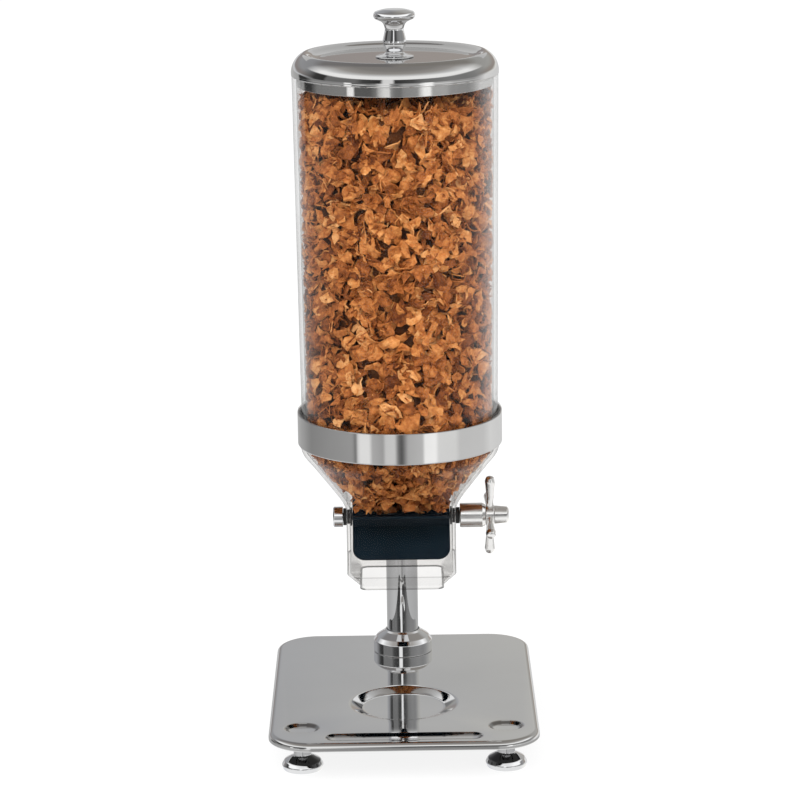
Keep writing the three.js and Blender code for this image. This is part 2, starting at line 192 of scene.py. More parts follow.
def spline(rows, per=5):
    """Catmull-Rom through rows of numbers, end points kept."""
    out = []
    n = len(rows)
    for i in range(n - 1):
        p0, p1, p2, p3 = rows[max(i - 1, 0)], rows[i], rows[i + 1], rows[min(i + 2, n - 1)]
        for j in range(per):
            t = j / per
            out.append(tuple(0.5 * (2 * b + (c - a) * t + (2 * a - 5 * b + 4 * c - d) * t * t + (3 * b - a - 3 * c + d) * t ** 3)
                             for a, b, c, d in zip(p0, p1, p2, p3)))
    out.append(tuple(rows[-1]))
    return out


def offset_chain(points, d):
    """The polyline moved d to its right-hand side."""
    out = []
    for i, p in enumerate(points):
        a = Vector(points[max(i - 1, 0)])
        b = Vector(points[min(i + 1, len(points) - 1)])
        t = (b - a).normalized()
        out.append((p[0] + t.y * d, p[1] - t.x * d))
    return out


# ------------------------------------------------------------------ materials
class Nodes:
    def __init__(self, name):
        self.m = bpy.data.materials.new(name)
        self.m.use_nodes = True
        self.t = self.m.node_tree
        self.t.nodes.clear()
        self.out = self.t.nodes.new("ShaderNodeOutputMaterial")
        self.coord = self.t.nodes.new("ShaderNodeTexCoord").outputs["Object"]

    def add(self, kind, **inputs):
        n = self.t.nodes.new("ShaderNode" + kind)
        for k, v in inputs.items():
            if k in ("operation", "blend_type", "data_type", "interpolation_type", "feature", "distance", "noise_dimensions", "attribute_name", "use_clamp", "mode"):
                setattr(n, k, v)
        return n

    def link(self, a, b):
        self.t.links.new(a, b)

    def noise(self, scale, detail=3.0, rough=0.55, distort=0.0, stretch=None):
        n = self.add("TexNoise")
        n.inputs["Scale"].default_value = scale
        n.inputs["Detail"].default_value = detail
        n.inputs["Roughness"].default_value = rough
        n.inputs["Distortion"].default_value = distort
        if stretch:
            m = self.add("Mapping")
            m.inputs["Scale"].default_value = stretch
            self.link(self.coord, m.inputs["Vector"])
            self.link(m.outputs[0], n.inputs["Vector"])
        else:
            self.link(self.coord, n.inputs["Vector"])
        return n.outputs["Fac"]

    def ramp(self, fac, stops, constant=False):
        n = self.add("ValToRGB")
        cr = n.color_ramp
        cr.interpolation = "CONSTANT" if constant else "LINEAR"
        while len(cr.elements) < len(stops):
            cr.elements.new(0.5)
        for e, (p, c) in zip(cr.elements, stops):
            e.position = p
            e.color = (c[0], c[1], c[2], 1.0) if hasattr(c, "__len__") else (c, c, c, 1.0)
        self.link(fac, n.inputs["Fac"])
        return n.outputs["Color"]

    def range(self, fac, lo, hi, a=0.3, b=0.7):
        n = self.add("MapRange")
        n.inputs["From Min"].default_value = a
        n.inputs["From Max"].default_value = b
        n.inputs["To Min"].default_value = lo
        n.inputs["To Max"].default_value = hi
        self.link(fac, n.inputs["Value"])
        return n.outputs["Result"]

    def math(self, op, a, b=None):
        n = self.add("Math", operation=op)
        for i, v in enumerate((a, b)):
            if v is None:
                continue
            if isinstance(v, (int, float)):
                n.inputs[i].default_value = v
            else:
                self.link(v, n.inputs[i])
        return n.outputs[0]

    def bump(self, height, strength, distance=0.0004, normal=None):
        n = self.add("Bump")
        n.inputs["Strength"].default_value = strength
        n.inputs["Distance"].default_value = distance
        self.link(height, n.inputs["Height"])
        if normal is not None:
            self.link(normal, n.inputs["Normal"])
        return n.outputs["Normal"]

    def principled(self, color, rough, metallic=0.0, normal=None, **more):
        n = self.add("BsdfPrincipled")
        n.inputs["Metallic"].default_value = metallic
        for key, v in (("Base Color", color), ("Roughness", rough)):
            if isinstance(v, (int, float)):
                n.inputs[key].default_value = v
            elif hasattr(v, "__len__"):
                n.inputs[key].default_value = (*v, 1.0)
            else:
                self.link(v, n.inputs[key])
        if normal is not None:
            self.link(normal, n.inputs["Normal"])
        for k, v in more.items():
            n.inputs[k.replace("_", " ")].default_value = v
        return n

    def finish(self, shader):
        self.link(shader, self.out.inputs["Surface"])
        return self.m


def metal(name, lo, hi, r0, r1, scale=9.0, wave=0.02, tint=(1.0, 1.0, 1.0), painted_shade=False):
    """Polished metal: faint cloudiness in tone and gloss, wiping marks and a very slight waviness.
    If asked, a point attribute darkens the base colour: painted shade in hollows and under the part."""
    s = Nodes(name)
    cloud = s.noise(scale, 4.0)
    wipe = s.noise(60.0, 3.0, 0.6, stretch=(1.0, 0.25, 1.0))
    base = s.ramp(cloud, [(0.3, tuple(lo * t for t in tint)), (0.7, tuple(hi * t for t in tint))])
    rough = s.range(wipe, r0, r1)
    if painted_shade:
        mul = s.add("VectorMath", operation="SCALE")
        s.link(base, mul.inputs[0])
        s.link(s.range(s.add("Attribute", attribute_name="painted_shade").outputs["Fac"], 1.0, 0.03, 0.0, 1.0), mul.inputs["Scale"])
        base = mul.outputs[0]
    n = s.bump(s.noise(14.0, 1.0), wave, 0.0006)
    return s.finish(s.principled(base, rough, 1.0, n).outputs[0])


STEEL = metal("polished_steel_sheet", 0.60, 0.66, 0.035, 0.07, 7.0, 0.02, (1.0, 0.995, 0.985))
TRAY = metal("polished_steel_tray", 0.86, 0.92, 0.03, 0.06, 5.0, 0.015, (1.0, 0.998, 0.992), painted_shade=True)
CHROME = metal("chrome", 0.76, 0.84, 0.025, 0.05, 12.0, 0.01, (0.985, 0.99, 1.0))
SATIN = metal("satin_chrome", 0.88, 0.95, 0.17, 0.24, 12.0, 0.01, (1.0, 0.99, 0.975))
ZINC = metal("zinc_plated_steel", 0.45, 0.58, 0.26, 0.4, 90.0, 0.05)


def clear_plastic(name, edge, body, gloss, face, power):
    """Clear wall seen straight through. It mirrors more and lets less through where it is seen edge-on. Along its
    moulded edges the point attribute "edge" lets less through: painted shade, dark lines that stand in for refraction
    in the thick plastic."""
    s = Nodes(name)
    lw = s.add("LayerWeight")
    lw.inputs["Blend"].default_value = 0.5
    facing = lw.outputs["Facing"]
    haze = s.range(s.noise(35.0, 4.0), 0.97, 1.0)
    tone = s.ramp(facing, [(0.0, body), (0.72, tuple(0.975 * b for b in body)), (0.9, tuple(0.90 * b for b in body)),
                           (1.0, tuple(edge * b for b in body))])
    mul = s.add("VectorMath", operation="SCALE")
    s.link(tone, mul.inputs[0])
    painted_edge_shade = s.range(s.add("Attribute", attribute_name="edge").outputs["Fac"], 1.0, 0.42, 0.0, 1.0)
    s.link(s.math("MULTIPLY", haze, painted_edge_shade), mul.inputs["Scale"])
    through = s.add("BsdfTransparent")
    s.link(mul.outputs[0], through.inputs["Color"])
    glossy = s.add("BsdfAnisotropic")
    glossy.inputs["Color"].default_value = (1.0, 1.0, 1.0, 1.0)
    s.link(s.range(s.noise(20.0, 2.0), 0.02, 0.05), glossy.inputs["Roughness"])
    s.link(s.bump(s.noise(10.0, 1.0), 0.03, 0.0006), glossy.inputs["Normal"])
    f = s.math("ADD", s.math("MULTIPLY", s.math("POWER", facing, power), gloss), face)
    mix = s.add("MixShader")
    s.link(f, mix.inputs[0])
    s.link(through.outputs[0], mix.inputs[1])
    s.link(glossy.outputs[0], mix.inputs[2])
    return s.finish(mix.outputs[0])


CLEAR = clear_plastic("clear_tube_plastic", 0.65, (0.99, 0.99, 0.988), 0.72, 0.004, 3.2)
CLEAR_MOULDED = clear_plastic("clear_moulded_plastic", 0.45, (0.940, 0.936, 0.930), 0.6, 0.003, 4.5)


def soft_dark(name, a, b, rough, scale, bump, sheen=0.0):
    s = Nodes(name)
    base = s.ramp(s.noise(scale, 4.0), [(0.3, a), (0.7, b)])
    r = s.range(s.noise(scale * 2.5, 2.0), rough - 0.08, rough + 0.08)
    n = s.bump(s.noise(scale * 12, 2.0), bump, 0.0003)
    p = s.principled(base, r, 0.0, n)
    if sheen:
        p.inputs["Sheen Weight"].default_value = sheen
    return s.finish(p.outputs[0])


NAVY = soft_dark("navy_silicone", (0.0012, 0.0062, 0.0118), (0.0020, 0.0092, 0.0165), 0.55, 40.0, 0.15)
NAVY.node_tree.nodes["Principled BSDF"].inputs["Specular IOR Level"].default_value = 0.12
BLACK = soft_dark("black_moulded_plastic", (0.010, 0.010, 0.011), (0.018, 0.018, 0.020), 0.45, 50.0, 0.12)
RUBBER = soft_dark("black_rubber", (0.008, 0.008, 0.008), (0.016, 0.016, 0.016), 0.7, 60.0, 0.3)
SEAL = soft_dark("clear_silicone", (0.55, 0.55, 0.54), (0.66, 0.66, 0.65), 0.5, 45.0, 0.15)


def cereal_material(name, dark):
    """Toasted flake: blistered, browned in patches, a different shade on each flake."""
    s = Nodes(name)
    tone = s.add("Attribute", attribute_name="tone").outputs["Fac"]
    patch = s.noise(190.0, 4.0, 0.66)
    blister = s.noise(520.0, 3.0, 0.6)
    v = s.math("SUBTRACT", s.math("ADD", s.math("MULTIPLY", tone, 0.55), s.math("MULTIPLY", patch, 0.80)), 0.165)
    stops = [(0.18, (0.090, 0.021, 0.0045)), (0.36, (0.240, 0.068, 0.014)), (0.50, (0.410, 0.133, 0.031)),
             (0.66, (0.580, 0.235, 0.066)), (0.86, (0.780, 0.410, 0.165))]
    base = s.ramp(v, [(p, tuple(c * dark for c in col)) for p, col in stops])
    n = s.bump(patch, 0.85, 0.0016)
    n = s.bump(blister, 0.6, 0.0006, n)
    return s.finish(s.principled(base, s.range(blister, 0.45, 0.65), 0.0, n, Specular_IOR_Level=0.22).outputs[0])


FLAKE = cereal_material("toasted_flakes", 1.0)
# painted shade: the flake material at a quarter of its colour, for the heap's heart
FLAKE_PAINTED_SHADE = cereal_material("toasted_flakes_in_shade", 0.25)


# ------------------------------------------------------------------ base tray
def tray():
    top, sheet = 41.0, 1.5

    def capsule(cx, cy, half, r, off, n):
        """Outline of a stadium of half length `half` and radius r, moved in by off."""
        rr = max(r - off, 0.05)
        e = half - r
        pts = []
        for k in range(n):
            a = -math.pi / 2 + math.pi * k / (n - 1)
            pts.append((cx + e + rr * math.cos(a), cy + rr * math.sin(a)))
        for k in range(n):
            a = math.pi / 2 + math.pi * k / (n - 1)
            pts.append((cx - e + rr * math.cos(a), cy + rr * math.sin(a)))
        return pts

    def circle(cx, cy, r, n):
        return [(cx + r * math.cos(2 * math.pi * k / n), cy + r * math.sin(2 * math.pi * k / n)) for k in range(n)]

    def rounded(w, h, r, n):
        pts = []
        for cx, cy, a0 in ((w - r, h - r, 0), (-w + r, h - r, 90), (-w + r, -h + r, 180), (w - r, -h + r, 270)):
            for k in range(n + 1):
                a = math.radians(a0 + 90 * k / n)
                pts.append((cx + r * math.cos(a), cy + r * math.sin(a)))
        return pts

    def drop(t, width, depth, soft):
        """Depth at t inside an outline: a sloped wall with both creases eased."""
        k = depth / width

        def knee(x):        # integral of a step eased over +-soft
            if x <= -soft:
                return 0.0
            if x >= soft:
                return x
            return (x + soft) ** 2 / (4 * soft)
        return k * (knee(t) - knee(t - width))

    loops = []              # (points, z)

    def feature(outline, width, depth, soft):
        offs = sorted({round(x, 3) for b in (0.0, width) for x in (b - soft, b - soft * 0.6, b - soft * 0.2, b + soft * 0.2, b + soft * 0.6, b + soft)})
        for t in offs:
            loops.append((outline(t), top - drop(t, width, depth, soft)))

    feature(lambda t: circle(0, -52, 53 - t, 144), 13.0, 4.6, 1.6)
    for t in (-0.9, -0.5, -0.1, 0.3, 0.8, 1.4, 2.1, 3.0, 4.0, 5.0, 6.0, 7.0, 8.0, 9.0, 9.9, 10.5):     # groove: a shallow round section
        u = 0.0 if t <= -0.9 else t if t >= 0.9 else (t + 0.9) ** 2 / 3.6
        loops.append((capsule(0, -153.4, 75.5, 10.8, t, 22), top - 2.4 * (1 - (1 - u / 10.8) ** 2)))
    for sx in (-98, 98):
        feature(lambda t, sx=sx: capsule(sx, -124.5, 17, 14, t, 26), 4.5, 3.0, 1.2)

    loops.append((rounded(124.2, 168.2, 36.2, 24), top))
    edge = rounded(125, 169, 37, 24)
    hole = circle(0, PY, 5.4, 32)
    coords, zs, edges = [], [], []
    for pts, z in [(edge, top), (hole, top)] + loops:
        o = len(coords)
        coords += [Vector(p) for p in pts]
        zs += [z] * len(pts)
        edges += [(o + k, o + (k + 1) % len(pts)) for k in range(len(pts))]
    vout, _, fout, orig, _, _ = geometry.delaunay_2d_cdt(coords, edges, [], 0, 1e-5, True)
    zmap = []
    for ids in orig:
        zmap.append(zs[ids[0]] if ids else top)
    tris = []
    for f in fout:
        c = sum((vout[i] for i in f), Vector((0, 0))) / len(f)
        if (c - Vector((0, PY))).length > 5.35:
            tris.append(tuple(f))
    n = len(vout)
    verts = [(v.x, v.y, z) for v, z in zip(vout, zmap)] + [(v.x, v.y, z - sheet) for v, z in zip(vout, zmap)]
    faces = list(tris) + [tuple(i + n for i in reversed(t)) for t in tris]
    where = {}
    for i, ids in enumerate(orig):
        for k in ids:
            where[k] = i
    ne, nh = len(edge), len(hole)
    # rim: over the rounded edge, down the side, round the cut edge and back up inside
    rows = [[where[k] for k in range(ne)]]
    prof = [(5 * (1 - math.sin(math.radians(90 * k / 8))), top - 5 + 5 * math.cos(math.radians(90 * k / 8))) for k in range(1, 9)] + \
           [(0.0, 35.7), (0.0, 33.9), (0.0, 33.5), (0.2, 33.15), (0.55, 33.0), (0.95, 33.0), (1.3, 33.15), (1.5, 33.5)] + \
           [(5 - 3.5 * math.cos(math.radians(90 * k / 6)), top - 5 + 3.5 * math.sin(math.radians(90 * k / 6))) for k in range(0, 6)]
    for inset, z in prof:
        pts = rounded(130 - inset, 174 - inset, 42 - inset, 24)
        rows.append(list(range(len(verts), len(verts) + ne)))
        verts += [(p[0], p[1], z) for p in pts]
    rows.append([where[k] + n for k in range(ne)])
    for a, b in zip(rows, rows[1:]):
        for k in range(ne):
            j = (k + 1) % ne
            faces.append((a[k], b[k], b[j], a[j]))
    ha, hb = [where[ne + k] for k in range(nh)], [where[ne + k] + n for k in range(nh)]
    for k in range(nh):
        j = (k + 1) % nh
        faces.append((ha[j], hb[j], hb[k], ha[k]))
    ob = new_object("tray", verts, faces, TRAY, 40)
    inner = 2 * n + 16 * ne
    painted_shade = []
    for i, (x, y, z) in enumerate(verts):
        d = 0.0
        if n <= i < 2 * n or i >= inner:
            d = 1.0                                     # painted shade: underside and inner lip made nearly black
        elif i >= 2 * n:
            d = 0.22                                    # folded edge, base colour a little darker than the face
        # painted shade: walls of the foot recesses, the groove and the bowl seat darkened by their depth
        elif i < n and z < top - 0.02:
            if abs(y + 124.5) < 14.5 and abs(abs(x) - 98) < 17.5:
                d = 0.85 * math.sin(math.pi * min(1.0, (top - z) / 3.0))
            elif y < -142:
                d = 0.80 * max(0.0, math.sin(math.pi * min(1.0, (top - z) / 1.9)))
            else:
                d = 0.48 * math.sin(math.pi * min(1.0, (top - z) / 4.6))
        painted_shade.append(d)
    assert len(ob.data.vertices) == len(painted_shade)
    ob.data.attributes.new("painted_shade", "FLOAT", "POINT").data.foreach_set("value", painted_shade)
    return ob


place(tray(), "stand", ["base_plate"])

# ------------------------------------------------------------------ feet
for key, sx, sy in (("front_left", -1, -1), ("front_right", 1, -1), ("rear_left", -1, 1), ("rear_right", 1, 1)):
    roof = (38.0 if sy < 0 else 41.0) - 1.5 - 0.3
    prof = fillet([(0, 2.6), (16.9, 2.6, 0.2), (16.9, 0.4, 0.2), (18.6, 0.4, 0.9), (20, 5, 2.2), (17.6, 9.4, 3.0), (9.6, 13.8, 2.0), (8.5, 14.8, 1.0),
                   (8.5, 23.8, 0.4), (4, 24, 0.2), (4, roof - 0.6, 0.3), (0, roof - 0.6)], 0.5)
    foot = new_object("foot_disc_" + key, *moved(lathe_data(prof, steps=96), at(sx * 98, sy * 124.5, 0)), CHROME)
    place(foot, "foot_%s_body" % key, ["foot_" + key])
    pad = new_object("foot_rubber_" + key, *moved(lathe_data(fillet([(0, 0), (16.4, 0, 0.7), (16.4, 2.3, 0.3), (0, 2.3)], 0.3), steps=80), at(sx * 98, sy * 124.5, 0)), RUBBER)
    place(pad, "foot_%s_body" % key, ["foot_pad_" + key])

# ------------------------------------------------------------------ post and collar
post = lathe_data(fillet([(14.5, 41.3), (16, 41.3), (16, 336), (14.5, 336)], 0.4, closed=True), closed=True, steps=128)
place(new_object("post", *moved(post, at(0, PY, 0)), CHROME), "stand", ["post_tube"])
collar = fillet([(28.4, 41.3, 0.2), (30, 41.3, 0.4), (30, 52.7, 1.2), (26.6, 57.1, 2.0), (19, 62.1, 0.8), (17.4, 63.9, 0.5), (16.6, 63.9, 0.2),
                 (16.6, 59.7, 0.3), (24.8, 55.7, 1.0), (28.4, 52.1, 1.0)], 0.4, closed=True)
place(new_object("collar", *moved(lathe_data(collar, closed=True, steps=128), at(0, PY, 0)), CHROME), "stand", ["post_collar"])
cap = fillet([(0, 341.4), (12, 339.9, 3.0), (16, 336.4, 0.8), (14.2, 336.3, 0.1), (14.2, 327, 0.5), (0, 327)], 0.5)
place(new_object("post_end_cap", *moved(lathe_data(cap, steps=96), at(0, PY, 0)), BLACK), "stand", ["post_cap"])

# ------------------------------------------------------------------ ring
ring = fillet([(97.5, 296.3), (99.5, 296.3), (99.5, 326.8), (97.5, 326.8)], 0.7, closed=True, seg=8)
place(new_object("ring_band", *moved(lathe_data(ring, closed=True, steps=256), at(0, HY, 0)), STEEL), "stand", ["support_ring"])

# ------------------------------------------------------------------ clear hopper
outer = [(328.7, 98.9, 98.9), (328.4, 99.3, 99.3), (327.4, 99.3, 99.3), (327.1, 99.1, 99.1), (327.1, 97.1, 97.1)]
outer += spline([(294.0, 97.1, 97.1), (286.5, 94.8, 94.8), (278.0, 88.0, 88.0), (268.0, 78.6, 70.0), (255.0, 66.4, 46.0), (244.0, 56.4, 24.0), (237.0, 53.0, 14.0)], 5)
outer += [(173.4, 53.0, 14.0), (172.7, 52.9, 13.95), (172.0, 52.4, 13.65), (171.3, 51.72, 13.31), (161.5, 42.28, 8.59), (160.9, 41.7, 8.3), (160.3, 41.2, 8.0), (159.6, 41.0, 8.0),
          (158.2, 41.0, 8.0), (157.4, 41.0, 8.0), (156.9, 41.0, 8.0), (156.5, 40.6, 7.6)]
inner = [(156.5, 39.5, 6.6), (156.9, 39.1, 6.2), (157.4, 39.1, 6.2), (158.2, 39.1, 6.2), (160.1, 39.1, 6.2), (160.7, 39.4, 6.4), (173.1, 49.7, 10.8), (173.9, 50.0, 11.0)]
inner += spline([(237.8, 50.0, 11.0), (245.4, 53.6, 21.0), (256.4, 63.4, 43.0), (269.4, 75.6, 67.0), (279.6, 85.2, 85.2), (288.0, 91.6, 91.6), (294.0, 93.0, 93.0)], 5)
inner += [(299.9, 93.0, 93.0), (299.9, 95.7, 95.7), (328.4, 95.7, 95.7), (328.7, 96.0, 96.0)]


def housing():
    ob = new_object("hopper_body", *moved(loft_data(outer + inner, 288), at(0, HY, 0)), CLEAR_MOULDED, 35)
    cutters = []
    for sgn in (-1, 1):
        cut = new_object("bore_cut", *moved(lathe_data([(0, 40), (7.3, 40), (7.3, 60), (0, 60)], steps=64),
                                            at(0, HY, AZ) @ Matrix.Rotation(0 if sgn > 0 else math.pi, 4, "Z") @ ALONG_X), CLEAR_MOULDED)
        cutters.append(cut)
    for cut in cutters:
        m = ob.modifiers.new("bore", "BOOLEAN")
        m.operation = "DIFFERENCE"
        m.solver = "EXACT"
        m.object = cut
    dg = bpy.context.evaluated_depsgraph_get()
    dg.update()
    me = bpy.data.meshes.new_from_object(ob.evaluated_get(dg))
    ob.modifiers.clear()
    old = ob.data
    ob.data = me
    bpy.data.meshes.remove(old)
    for cut in cutters:
        bpy.data.objects.remove(cut)
    me.set_sharp_from_angle(angle=math.radians(35))
    # painted shade: dark lines along the spout's bottom end and the ledge near z 172, fainter at the front
    painted_edge_lines = []
    for v in me.vertices:
        x, y, z = v.co.x / MM, v.co.y / MM - HY, v.co.z / MM
        e = 0.0
        if z < 158.0:
            e = 0.30 if y < -30 and abs(x) < 36 else 0.9
        elif 171.8 < z < 172.9 and max(abs(x), abs(y)) > 50.5:
            e = 0.45 if abs(x) < 40 else 0.95
        painted_edge_lines.append(e)
    att = me.attributes.new("edge", "FLOAT", "POINT")
    att.data.foreach_set("value", painted_edge_lines)
    return ob


place(housing(), "stand", ["hopper_funnel"])

tube = fillet([(91.2, 302.7), (95.2, 302.7), (98.4, 655.4), (94.4, 655.4)], 0.8, closed=True, seg=6)
place(new_object("tube", *moved(lathe_data(tube, closed=True, steps=256), at(0, HY, 0)), CLEAR), "stand", ["hopper_tube"])
seal = fillet([(93.3, 300.2), (95.3, 300.2), (95.3, 302.4), (93.3, 302.4)], 0.7, closed=True)
place(new_object("tube_gasket", *moved(lathe_data(seal, closed=True, steps=192), at(0, HY, 0)), SEAL), "stand", ["tube_seal"])

# ------------------------------------------------------------------ bushes
for key, s in (("left", -1), ("right", 1)):
    g = lathe_data(fillet([(4.4, 48), (9, 48, 0.5), (9, 49.7, 0.2), (7, 49.7, 0.1), (7, 53, 0.3), (4.4, 53)], 0.2, closed=True), closed=True, steps=64)
    m = at(0, HY, AZ) @ Matrix.Rotation(0 if s > 0 else math.pi, 4, "Z") @ ALONG_X
    place(new_object("bearing_" + key, *moved(g, m), BLACK), "stand", ["bush_" + key])

# ------------------------------------------------------------------ wheel
BLADE0 = 13.0


def wheel():
    parts = []
    hub = fillet([(9.8, -47.5), (12.2, -47.5), (12.2, 47.5), (9.8, 47.5)], 0.5, closed=True)
    parts.append(moved(lathe_data(hub, closed=True, steps=72), at(0, HY, AZ) @ ALONG_X))
    outline = fillet([(-47.5, 11.2), (47.5, 11.2), (47.5, 48.0, 12.0), (-47.5, 48.0, 12.0)], 0.0, closed=True, seg=12)
    n = len(outline)
    c = Vector((0, 29.0))
    rings = [(0.7, -1.4), (0.2, -1.2), (0.0, -0.7), (0.0, 0.7), (0.2, 1.2), (0.7, 1.4)]
    for k in range(6):
        verts = []
        for inset, z in rings:
            for x, y in outline:
                d = Vector((x, y)) - c
                sx = (abs(d.x) - inset) / max(abs(d.x), 1e-6)
                sy = (abs(d.y) - inset) / max(abs(d.y), 1e-6)
                verts.append((c.x + d.x * sx, c.y + d.y * sy, z))
        faces = [tuple(range(n - 1, -1, -1)), tuple(range(5 * n, 6 * n))]
        for r in range(5):
            for i in range(n):
                j = (i + 1) % n
                faces.append((r * n + i, r * n + j, (r + 1) * n + j, (r + 1) * n + i))
        m = at(0, HY, AZ) @ Matrix.Rotation(math.pi + math.radians(60 * k - BLADE0), 4, "X")
        parts.append(moved((verts, faces), m))
    return new_object("paddle_rotor", *joined(parts), NAVY, 40)


place(wheel(), "rotor", ["paddle_wheel"])

# ------------------------------------------------------------------ handle and cap
AX = at(0, HY, AZ)
g = fillet([(4.4, 53.3), (8.4, 53.3), (8.4, 56.7), (4.4, 56.7)], 0.6, closed=True)
place(new_object("washer_l", *moved(lathe_data(g, closed=True, steps=64), AX @ Matrix.Rotation(math.pi, 4, "Z") @ ALONG_X), RUBBER), "rotor", ["washer_left"])
g = fillet([(4.4, 53.3), (8, 53.3), (8, 57.3), (4.4, 57.3)], 0.6, closed=True)
place(new_object("washer_r", *moved(lathe_data(g, closed=True, steps=64), AX @ ALONG_X), RUBBER), "rotor", ["washer_right"])
g = fillet([(0, -66.6), (3.0, -66.6, 0.2), (3.0, -66.1, 0.1), (3.4, -66.1, 0.1), (3.4, -66.6, 0.2), (8.9, -66.6, 0.4), (10, -65.5, 0.5), (10, -57.0, 0.3), (4.35, -57.0, 0.1), (4.35, -63.9, 0.1), (0, -63.9)], 0.3)
place(new_object("end_cap", *moved(lathe_data(g, steps=96), AX @ ALONG_X), CHROME), "rotor", ["end_cap_left"])
g = fillet([(4.4, 57.6), (11.4, 57.6, 0.2), (12, 58.3, 0.3), (12, 79.6, 1.0), (10, 82.6, 0.5), (4.4, 82.6)], 0.2, closed=True)
place(new_object("handle_barrel", *moved(lathe_data(g, closed=True, steps=112), AX @ ALONG_X), SATIN), "rotor", ["handle_sleeve"])
g = fillet([(4.35, 82.9), (10, 82.9, 0.8), (10, 91.1, 0.8), (4.35, 91.1)], 0.2, closed=True)
place(new_object("handle_boss", *moved(lathe_data(g, closed=True, steps=96), AX @ ALONG_X), SATIN), "rotor", ["handle_hub"])
g = fillet([(4.35, 91.4), (9.1, 91.4, 0.4), (7.9, 103.8, 0.8), (6, 105.4, 0.8), (0, 105.6), (0, 94.2), (4.35, 94.2)], 0.3)
g = fillet([(0, 94.2), (4.35, 94.2, 0.1), (4.35, 91.4, 0.1), (9.1, 91.4, 0.5), (7.9, 103.8, 1.2), (6, 105.4, 0.8), (0, 105.6)], 0.3)
place(new_object("handle_tip", *moved(lathe_data(g, steps=96), AX @ ALONG_X), SATIN), "rotor", ["handle_nose"])
arm = fillet([(0, 5.4), (2, 5.4, 0.1), (2, 10.3, 0.1), (3.4, 10.6, 0.4), (3.2, 18, 12), (4.4, 31.5, 12), (5.1, 37.6, 4), (3.8, 41.6, 1.6), (0, 42.6)], 0.3)
for k, key in enumerate(("up", "front", "down", "rear")):
    m = at(87, HY, AZ) @ Matrix.Rotation(math.radians(14 + 90 * k), 4, "X")
    place(new_object("arm_" + key, *moved(lathe_data(arm, steps=72), m), SATIN), "rotor", ["handle_arm_" + key])

# ------------------------------------------------------------------ lid
over = spline([(98.9, 657.6), (98.87, 660.0), (98.2, 663.6), (96.4, 668.0), (93.2, 672.4), (89.2, 675.7), (86.0, 676.75), (82.0, 675.7), (78.3, 673.1), (73.0, 671.65), (66.0, 671.6)], 8)
over = [(98.9, 656.6)] + over
under = offset_chain(over, -1.2)
under = [(97.7, 656.6)] + [(x, z) for x, z in under[1:]]
prof = [(0, 671.6)] + over[::-1] + [(98.9, 656.2), (98.65, 655.95), (98.3, 655.9), (97.95, 655.95), (97.7, 656.2)] + under + [(0, 670.4)]
# a hole in the middle for the knob's screw
prof = [(3.3, 671.6)] + prof[1:-1] + [(3.3, 670.4)]
place(new_object("lid_cover", *moved(lathe_data(prof, closed=True, steps=256), at(0, HY, 0)), STEEL, 45), "lid", ["lid_pan"])
g = fillet([(92.6, 645.8), (93.6, 645.8), (93.6, 669), (92.6, 669)], 0.35, closed=True)
place(new_object("lid_cup", *moved(lathe_data(g, closed=True, steps=256), at(0, HY, 0)), STEEL), "lid", ["lid_skirt"])
g = fillet([(93.9, 655.7), (97.3, 655.7), (97.3, 661.4), (93.9, 661.4)], 0.8, closed=True)
place(new_object("lid_gasket", *moved(lathe_data(g, closed=True, steps=192), at(0, HY, 0)), SEAL), "lid", ["lid_seal"])
k0 = 671.9
knob = fillet([(0, 678), (3, 678, 0.1), (3, k0, 0.1), (18.2, k0, 0.2), (18.4, k0 + 0.9, 0.4), (16, k0 + 1.7, 2), (11, k0 + 2.6, 2), (8.3, k0 + 4.8, 2.5), (9.3, k0 + 7.2, 4), (11.2, 684, 6),
               (11.2, 688, 8), (9.6, 695, 10), (8.9, 698.4, 6), (10.4, 703.4, 5), (12.4, 705.4, 4), (18.9, 708.4, 2.5), (20.2, 711.2, 2.2), (19, 714.6, 2.6), (11, 717.1, 20), (0, 717.5)], 1.0, seg=9)
place(new_object("knob", *moved(lathe_data(knob, steps=128), at(0, HY, 0)), CHROME), "lid", ["lid_knob"])

# ------------------------------------------------------------------ CAD parts that stay, with their finishes
KEEP = {ZINC: ["post_plug", "post_bolt", "post_bolt_washer", "ring_screw_left", "ring_screw_right", "bracket_clamp_screw", "drive_shaft",
               "knob_washer", "knob_screw", "foot_boss_front_left", "foot_boss_front_right", "foot_boss_rear_left", "foot_boss_rear_right"],
        CHROME: ["ring_bracket"], BLACK: ["wheel_core"]}
for m, names in KEEP.items():
    for n in names:
        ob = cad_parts[n]
        if ob.material_slots:
            for s in ob.material_slots:
                s.material = m
        else:
            ob.data.materials.append(m)


# ------------------------------------------------------------------ cereal
rnd = random.Random(41)


